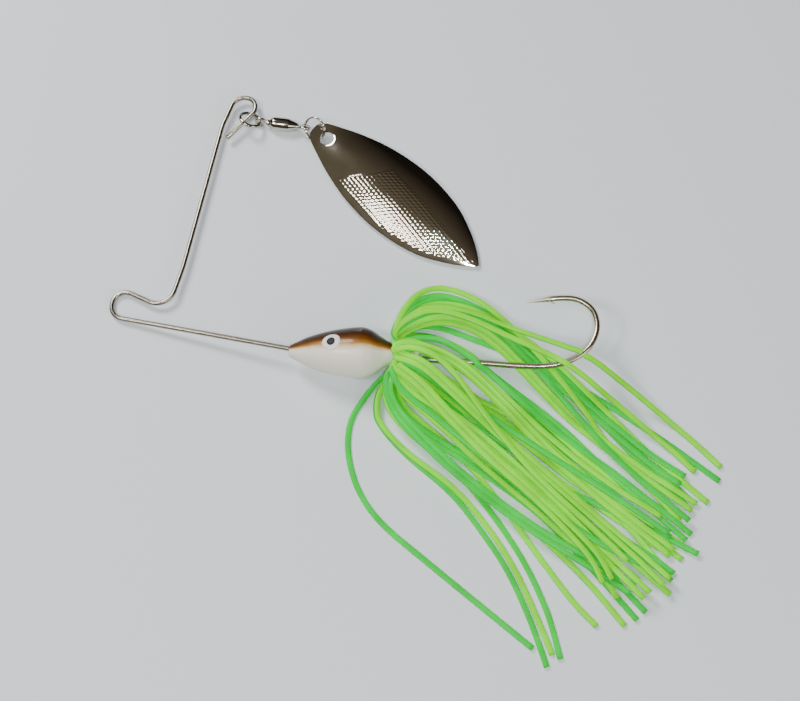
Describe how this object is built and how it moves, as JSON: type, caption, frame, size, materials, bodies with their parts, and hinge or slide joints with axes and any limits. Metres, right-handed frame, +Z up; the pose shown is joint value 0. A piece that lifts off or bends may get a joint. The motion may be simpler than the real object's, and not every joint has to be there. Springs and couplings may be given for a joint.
{
  "type": "spinnerbait",
  "caption": "Fishing lure: a painted lead head on a hook and a bent wire arm, with a swivel and a willow-leaf blade that spins, and a skirt of silicone strands.",
  "frame": {"origin": "on the resting surface, under the middle of the lure without its skirt strands", "axes": "+X from the nose along the hook's shank to the bend, +Y towards the blade arm and the hook point, +Z up from the surface on which the lure lies on its side"},
  "size_m": [0.1339, 0.1267, 0.0141],
  "materials": {
    "wire": "drawn stainless wire, semi-bright",
    "hook": "bronzed dark nickel, polished",
    "head_paint": "pearl belly, amber flanks and black-brown back under clear lacquer",
    "eye_white": "gloss lacquer dot",
    "eye_black": "gloss lacquer dot",
    "collar": "soft rubber band",
    "nickel": "polished nickel plate",
    "bearing_steel": "polished bearing balls",
    "brass": "turned brass",
    "blade": "nickel-plated brass, mirror polished, scale pattern stamped on one half",
    "silicone": "translucent chartreuse and fluorescent green silicone strands"
  },
  "bodies": {
    "root": {"wire_frame": "wire", "hook": "hook", "lead_head": "head_paint", "eye_white_left": "eye_white", "eye_white_right": "eye_white", "eye_pupil_left": "eye_black", "eye_pupil_right": "eye_black", "skirt_collar": "collar", "skirt_bundle_far_loop": "silicone", "skirt_bundle_over_shank": "silicone", "skirt_bundle_top": "silicone", "skirt_bundle_near_top": "silicone", "skirt_bundle_near": "silicone", "skirt_bundle_near_low": "silicone", "skirt_bundle_low": "silicone", "skirt_bundle_far_low": "silicone", "skirt_strand_over_hook": "silicone", "skirt_strand_under_hook": "silicone", "skirt_strand_lone": "silicone", "skirt_strand_pair": "silicone", "skirt_strand_near_stray": "silicone"},
    "ring": {"front_ring": "nickel"},
    "shaft": {"swivel_shaft": "nickel"},
    "barrel": {"swivel_barrel": "nickel", "swivel_bushing": "brass", "swivel_rear_loop": "nickel"},
    "balls": {"bearing_ball_1": "bearing_steel", "bearing_ball_2": "bearing_steel", "bearing_ball_3": "bearing_steel", "bearing_ball_4": "bearing_steel", "bearing_ball_5": "bearing_steel", "bearing_ball_6": "bearing_steel"},
    "split": {"split_ring": "nickel"},
    "spinner": {"blade": "blade"}
  },
  "joints": [
    {"name": "ring_swing", "type": "hinge", "parent": "root", "child": "ring", "pos_m": [-0.02651, 0.02804, 0.00196], "axis": [-0.6418, -0.7659, -0.0391], "range_deg": [-80, 80]},
    {"name": "swivel_swing", "type": "hinge", "parent": "ring", "child": "shaft", "pos_m": [-0.02391, 0.02735, 0.0012], "axis": [-0.0987, -0.8905, 0.4441], "range_deg": [-50, 50]},
    {"name": "swivel_spin", "type": "hinge", "parent": "shaft", "child": "barrel", "pos_m": [-0.02391, 0.02735, 0.0012], "axis": [0.9951, -0.0891, 0.0427], "continuous": true},
    {"name": "ball_orbit", "type": "hinge", "parent": "shaft", "child": "balls", "pos_m": [-0.02391, 0.02735, 0.0012], "axis": [0.9951, -0.0891, 0.0427], "continuous": true},
    {"name": "split_ring_swing", "type": "hinge", "parent": "barrel", "child": "split", "pos_m": [-0.0137, 0.02643, 0.00164], "axis": [0.0057, 0.7448, 0.6673], "range_deg": [-35, 35]},
    {"name": "blade_swing", "type": "hinge", "parent": "split", "child": "spinner", "pos_m": [-0.01138, 0.02565, 0.00249], "axis": [-0.445, -0.5957, 0.6687], "range_deg": [-60, 60]}
  ],
  "couplings": [
    {"joint": "ball_orbit", "follows": "swivel_spin", "ratio": 0.5}
  ]
}
